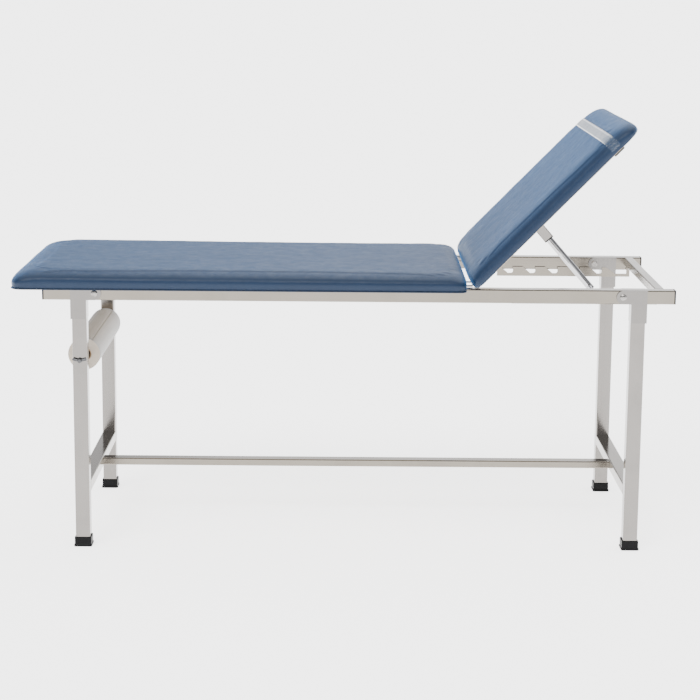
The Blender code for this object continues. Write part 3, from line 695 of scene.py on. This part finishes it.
def upholster(name, bm, matrix, notches=()):
    """A pad from its shell: even mesh, notches, swelling, creases and a finer mesh."""
    obj = new_object(name, bm, MATERIALS["vinyl"])
    remesh_evenly(obj)
    for low, high in notches:
        cut_box(obj, low, high)
    if notches:
        remesh_evenly(obj)
    smooth_out(obj, SMOOTHS_BEFORE)
    swell(obj)
    smooth_out(obj, SMOOTHS_AFTER)
    soften(obj, matrix)
    finer = obj.modifiers.new("finer", "SUBSURF")
    finer.levels = 1
    finer.render_levels = 1
    bake_modifiers(obj)
    for polygon in obj.data.polygons:
        polygon.use_smooth = True
    return obj


def plan_outline(start, end, half, start_corner, end_corner, z):
    """A level rectangle with rounded corners."""
    points = []
    for x, sign, corner, first in (
        (end, 1, end_corner, 0), (start, 1, start_corner, 90),
        (start, -1, start_corner, 180), (end, -1, end_corner, 270),
    ):
        cx = x - corner if x == end else x + corner
        for i in range(CORNER_STEPS + 1):
            turn = math.radians(first + 90 * i / CORNER_STEPS)
            cy = sign * (half - corner)
            points.append((cx + corner * math.cos(turn), cy + corner * math.sin(turn), z))
    return points


def seat_pad():
    bm = pad_shell(SEAT_START, SEAT_END, SEAT_HEIGHT, SEAT_LIP, False, SEAT_TAPER)
    pad = upholster("seat_pad", bm, SEAT_FRAME)
    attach(pad, "frame")
    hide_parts("seat_cushion")


def paper_strap(pad):
    """The clear strap, laid on the backrest pad's own surface and closed underneath."""
    to_board = BOARD_FRAME.inverted()
    points = [to_board @ vertex.co for vertex in pad.data.vertices]
    tree = BVHTree.FromPolygons(points, [tuple(p.vertices) for p in pad.data.polygons])
    half = PAD_HALF_WIDTH
    turn_y = half - RAY_TURN_INSET
    path = [(y, RAY_Z, Vector((0, 0, -1))) for y in np.linspace(-turn_y, turn_y, RAYS_ACROSS)]
    for i in range(1, RAYS_ROUND + 1):
        turn = math.radians(90) * i / RAYS_ROUND
        sine, cosine = math.sin(turn), math.cos(turn)
        path.append((
            turn_y + RAY_TURN_WIDTH * sine, RAY_TURN_Z + RAY_TURN_HEIGHT * cosine,
            Vector((0, -sine, -cosine)),
        ))
    mirrored = [(-y, z, Vector((0, -d.y, d.z))) for y, z, d in reversed(path[RAYS_ACROSS:])]
    bm = bmesh.new()
    loops = []
    for at in np.linspace(STRAP_AT - STRAP_WIDTH / 2, STRAP_AT + STRAP_WIDTH / 2, STRAP_ROWS):
        surface = []
        for y, z, direction in mirrored + path:
            hit, normal, _, _ = tree.ray_cast(Vector((at, y, z)), direction)
            surface.append((hit, normal if normal.dot(direction) < 0 else -normal))
        for side in (-1, 1):
            foot = Vector((at, side * (half - RIM), -BACK_LIP - STRAP_LIFT))
            surface.insert(0 if side < 0 else len(surface), (foot, Vector((0, 0, -1))))
        outer = [p + (STRAP_LIFT + STRAP_THICKNESS) * n for p, n in surface]
        inner = [p + STRAP_LIFT * n for p, n in reversed(surface)]
        loops.append(outer + inner)
    loft(bm, loops)
    strap = new_object("clear_strap", bm, MATERIALS["film"], BOARD_FRAME)
    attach(strap, "backrest")
    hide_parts("paper_strap")


def back_pad():
    bm = pad_shell(BACK_START, BACK_END, BACK_HEIGHT, BACK_LIP, True)
    notches = [
        ((NOTCH_X[0], y - NOTCH_HALF, NOTCH_Z[0]), (NOTCH_X[1], y + NOTCH_HALF, NOTCH_Z[1]))
        for y in (-HINGE_Y, HINGE_Y)
    ]
    pad = upholster("back_pad", bm, BOARD_FRAME, notches)
    paper_strap(pad)
    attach(pad, "backrest")
    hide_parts("back_cushion")


def upholstery():
    """Both pads, and the rolled lower edge where the seat's vinyl turns under."""
    seat_pad()
    back_pad()
    bm = bmesh.new()
    inset = EDGE_ROLL_INSET
    path = plan_outline(
        SEAT_START + inset, SEAT_END - inset, PAD_HALF_WIDTH - inset,
        OUTER_CORNER - inset, HINGE_CORNER - inset, EDGE_ROLL_Z,
    )
    swept(bm, path, PIPING_RADIUS, PIPING_SIDES)
    # The roll takes the darker, painted-shade copy of the vinyl.
    roll = new_object("seat_edge_roll", bm, MATERIALS["piping"], SEAT_FRAME)
    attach(roll, "frame")


# ---------------------------------------------------------------- paper roll and foot rod


def wound_roll():
    """The roll of tissue: a spiral with a free edge, and ends that the layers ripple."""
    low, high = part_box("paper_roll")
    core_low, core_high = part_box("roll_core")
    centre = (low + high) / 2
    outer = (high.z - low.z) / 2
    inner = (core_high.z - core_low.z) / 2 + CORE_GAP
    half = (high.y - low.y) / 2
    end = [
        (
            inner + (outer - EDGE_INSET - inner) * i / ROLL_RINGS,
            half - END_INSET - PAPER_RIPPLE * (i % 2),
        )
        for i in range(ROLL_RINGS + 1)
    ]
    profile = [(radius, -y) for radius, y in end]
    for i in range(1, ROLL_BANDS):
        y = -half + 2 * half * i / ROLL_BANDS
        wave = SURFACE_WAVE * noise.noise(Vector((y * SURFACE_CELLS, 0, 0)))
        profile.append((outer - SURFACE_INSET + wave, y))
    profile += reversed(end)
    loops = []
    for k in range(ROLL_SIDES + 1):
        angle = PAPER_EDGE_AT + 2 * math.pi * k / ROLL_SIDES
        growth = PAPER_STEP * (k / ROLL_SIDES - 1)
        grown = [(r + growth * (r > outer - LOOSE_DEPTH), y) for r, y in profile]
        loops.append([
            (centre.x + r * math.cos(angle), y, centre.z + r * math.sin(angle)) for r, y in grown
        ])
    bm = bmesh.new()
    loft(bm, loops, closed=True)
    roll = new_object("tissue_roll", bm, MATERIALS["paper"])
    roll.data.materials.append(MATERIALS["paper_end"])
    for polygon in roll.data.polygons:
        if abs(polygon.normal.y) > 0.5:
            polygon.material_index = 1
            polygon.use_smooth = False
    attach(roll, "roll")
    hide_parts("paper_roll")


def foot_rod():
    """The strut's foot rod at its full length, across both racks, with a black cap on each end."""
    low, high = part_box("strut_foot_rod")
    centre = (low + high) / 2
    far_cap = ROD_FAR_Y - FAR_CAP_LENGTH
    bevel, part_bevel = ROD_BEVEL, ROD_BEVEL_SHARE * ROD_BEVEL
    for name, start, end, key, slot in (
        ("foot_rod", ROD_NEAR_Y, far_cap, "chrome", "chrome_tube"),
        ("foot_rod_cap_near", ROD_NEAR_Y - NEAR_CAP_LENGTH, ROD_NEAR_Y, "plastic", "black_plastic"),
        ("foot_rod_cap_far", far_cap, ROD_FAR_Y, "plastic", "black_plastic"),
    ):
        loops = []
        for y, shrink in (
            (start, bevel), (start + part_bevel, part_bevel), (start + bevel, 0.0),
            (end - bevel, 0.0), (end - part_bevel, part_bevel), (end, bevel),
        ):
            r = ROD_RADIUS - ROD_CLEARANCE - shrink
            loops.append([
                (centre.x + r * math.cos(turn), y, centre.z + r * math.sin(turn))
                for turn in (2 * math.pi * k / ROD_SIDES for k in range(ROD_SIDES))
            ])
        bm = bmesh.new()
        loft(bm, loops)
        piece = new_object(name, bm, MATERIALS[key])
        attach(piece, "strut")
        if name == "foot_rod":
            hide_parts("strut_foot_rod")


# ---------------------------------------------------------------- studio


def studio():
    """A wide floor, a sky with a darker band for the metal to mirror, and two broad lights."""
    floor_z = cad_box[0].z
    bm = bmesh.new()
    centre = bm.verts.new((0, 0, floor_z))
    rim = [
        bm.verts.new((FLOOR_REACH * math.cos(turn), FLOOR_REACH * math.sin(turn), floor_z))
        for turn in (2 * math.pi * i / FLOOR_SIDES for i in range(FLOOR_SIDES))
    ]
    for first, second in zip(rim, rim[1:] + rim[:1]):
        bm.faces.new((centre, first, second))
    floor = new_object("studio_floor", bm, floor_finish())

    world = bpy.data.worlds.new("studio")
    world.use_nodes = True
    tree = world.node_tree
    coords = tree.nodes.new("ShaderNodeTexCoord")
    split = tree.nodes.new("ShaderNodeSeparateXYZ")
    ramp = tree.nodes.new("ShaderNodeValToRGB")
    lift = tree.nodes.new("ShaderNodeMath")
    lift.operation = "MULTIPLY_ADD"
    lift.inputs[1].default_value = 0.5
    lift.inputs[2].default_value = 0.5
    tree.links.new(coords.outputs["Generated"], split.inputs[0])
    tree.links.new(split.outputs["Z"], lift.inputs[0])
    tree.links.new(lift.outputs[0], ramp.inputs["Fac"])
    tree.links.new(ramp.outputs["Color"], tree.nodes["Background"].inputs["Color"])
    stops = ramp.color_ramp.elements
    for stop, (position, grey) in zip(stops, SKY_ENDS):
        stop.position = position
        stop.color = (grey, grey, grey, 1)
    for position, grey in SKY_BAND:
        stop = stops.new(position)
        stop.color = (grey, grey, SKY_BAND_BLUE * grey, 1)
    tree.nodes["Background"].inputs["Strength"].default_value = SKY_STRENGTH
    bpy.context.scene.world = world

    for name, pitch, azimuth, energy, angle in LIGHTS:
        light = bpy.data.lights.new(name, "SUN")
        light.energy = energy
        light.angle = math.radians(angle)
        obj = bpy.data.objects.new(name, light)
        obj.rotation_euler = (math.radians(pitch), 0, math.radians(azimuth))
        COLLECTION.objects.link(obj)


def camera():
    """The photo's viewpoint."""
    data = bpy.data.cameras.new("camera")
    data.lens = CAMERA_LENS
    data.sensor_width = CAMERA_SENSOR
    data.clip_end = CAMERA_REACH
    forward = Vector((
        math.sin(CAMERA_YAW) * math.cos(CAMERA_PITCH),
        math.cos(CAMERA_YAW) * math.cos(CAMERA_PITCH),
        -math.sin(CAMERA_PITCH),
    ))
    right = Vector((math.cos(CAMERA_YAW), -math.sin(CAMERA_YAW), 0))
    up = right.cross(forward)
    rolled_right = math.cos(CAMERA_ROLL) * right + math.sin(CAMERA_ROLL) * up
    rolled_up = -math.sin(CAMERA_ROLL) * right + math.cos(CAMERA_ROLL) * up
    matrix = Matrix((rolled_right, rolled_up, -forward)).transposed().to_4x4()
    matrix.translation = CAMERA_AT
    obj = bpy.data.objects.new("camera", data)
    obj.matrix_world = matrix
    COLLECTION.objects.link(obj)
    bpy.context.scene.camera = obj


# ---------------------------------------------------------------- the whole scene

finish_cad_nodes()
upholstery()
wound_roll()
foot_rod()
studio()
camera()
